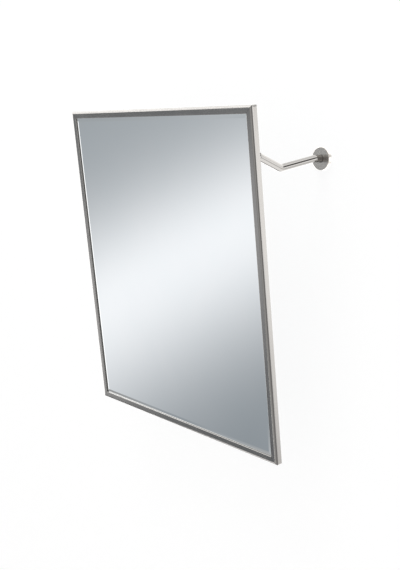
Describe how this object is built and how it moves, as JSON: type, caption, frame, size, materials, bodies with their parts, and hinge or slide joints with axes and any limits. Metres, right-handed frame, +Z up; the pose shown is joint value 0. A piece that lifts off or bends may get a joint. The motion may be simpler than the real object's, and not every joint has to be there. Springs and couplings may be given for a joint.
{
  "type": "pivot wall mirror",
  "caption": "Rectangular wall mirror in a satin steel frame that tilts on two bent tubular arms with round wall rosettes.",
  "frame": {"origin": "on the wall plane, midway between the two wall plates and at their height", "axes": "+X along the wall to the right of a viewer who faces the mirror, +Y into the wall, +Z up"},
  "size_m": [0.54, 0.19, 0.602],
  "materials": {
    "satin_steel": "satin, brushed along its length",
    "mirror_silver": "silvered glass",
    "zinc_sheet": "zinc coated",
    "zinc_fastener": "bright zinc plated",
    "grey_foam": "closed-cell foam",
    "black_rubber": "matte",
    "white_nylon": "moulded"
  },
  "bodies": {
    "wall_arms": {"arm_tube_left": "satin_steel", "arm_eye_left": "satin_steel", "eye_pin_left": "zinc_fastener", "pivot_bush_left_outer": "white_nylon", "pivot_bush_left_inner": "white_nylon", "wall_plate_left": "zinc_sheet", "cover_rosette_left": "satin_steel", "arm_plug_left": "zinc_fastener", "arm_screw_left": "zinc_fastener", "arm_tube_right": "satin_steel", "arm_eye_right": "satin_steel", "eye_pin_right": "zinc_fastener", "pivot_bush_right_outer": "white_nylon", "pivot_bush_right_inner": "white_nylon", "wall_plate_right": "zinc_sheet", "cover_rosette_right": "satin_steel", "arm_plug_right": "zinc_fastener", "arm_screw_right": "zinc_fastener"},
    "framed_mirror": {"frame_top_rail": "satin_steel", "frame_bottom_rail": "satin_steel", "frame_left_stile": "satin_steel", "frame_right_stile": "satin_steel", "corner_key_top_right": "zinc_sheet", "corner_key_bottom_right": "zinc_sheet", "corner_key_bottom_left": "zinc_sheet", "corner_key_top_left": "zinc_sheet", "mirror_glass": "mirror_silver", "backing_pad": "grey_foam", "back_plate": "zinc_sheet", "pivot_bracket_left": "satin_steel", "pivot_bracket_right": "satin_steel", "bracket_rivet_left_lower": "zinc_fastener", "bracket_rivet_left_upper": "zinc_fastener", "bracket_rivet_right_lower": "zinc_fastener", "bracket_rivet_right_upper": "zinc_fastener", "pivot_bolt_left": "zinc_fastener", "spring_washer_left": "zinc_fastener", "lock_nut_left": "zinc_fastener", "pivot_bolt_right": "zinc_fastener", "spring_washer_right": "zinc_fastener", "lock_nut_right": "zinc_fastener", "wall_buffer_left": "black_rubber", "wall_buffer_right": "black_rubber"}
  },
  "joints": [
    {"name": "mirror_tilt", "type": "hinge", "parent": "wall_arms", "child": "framed_mirror", "pos_m": [0, -0.1602, 0.0104], "axis": [1, 0, 0], "range_deg": [-6.3, 11.4]}
  ]
}
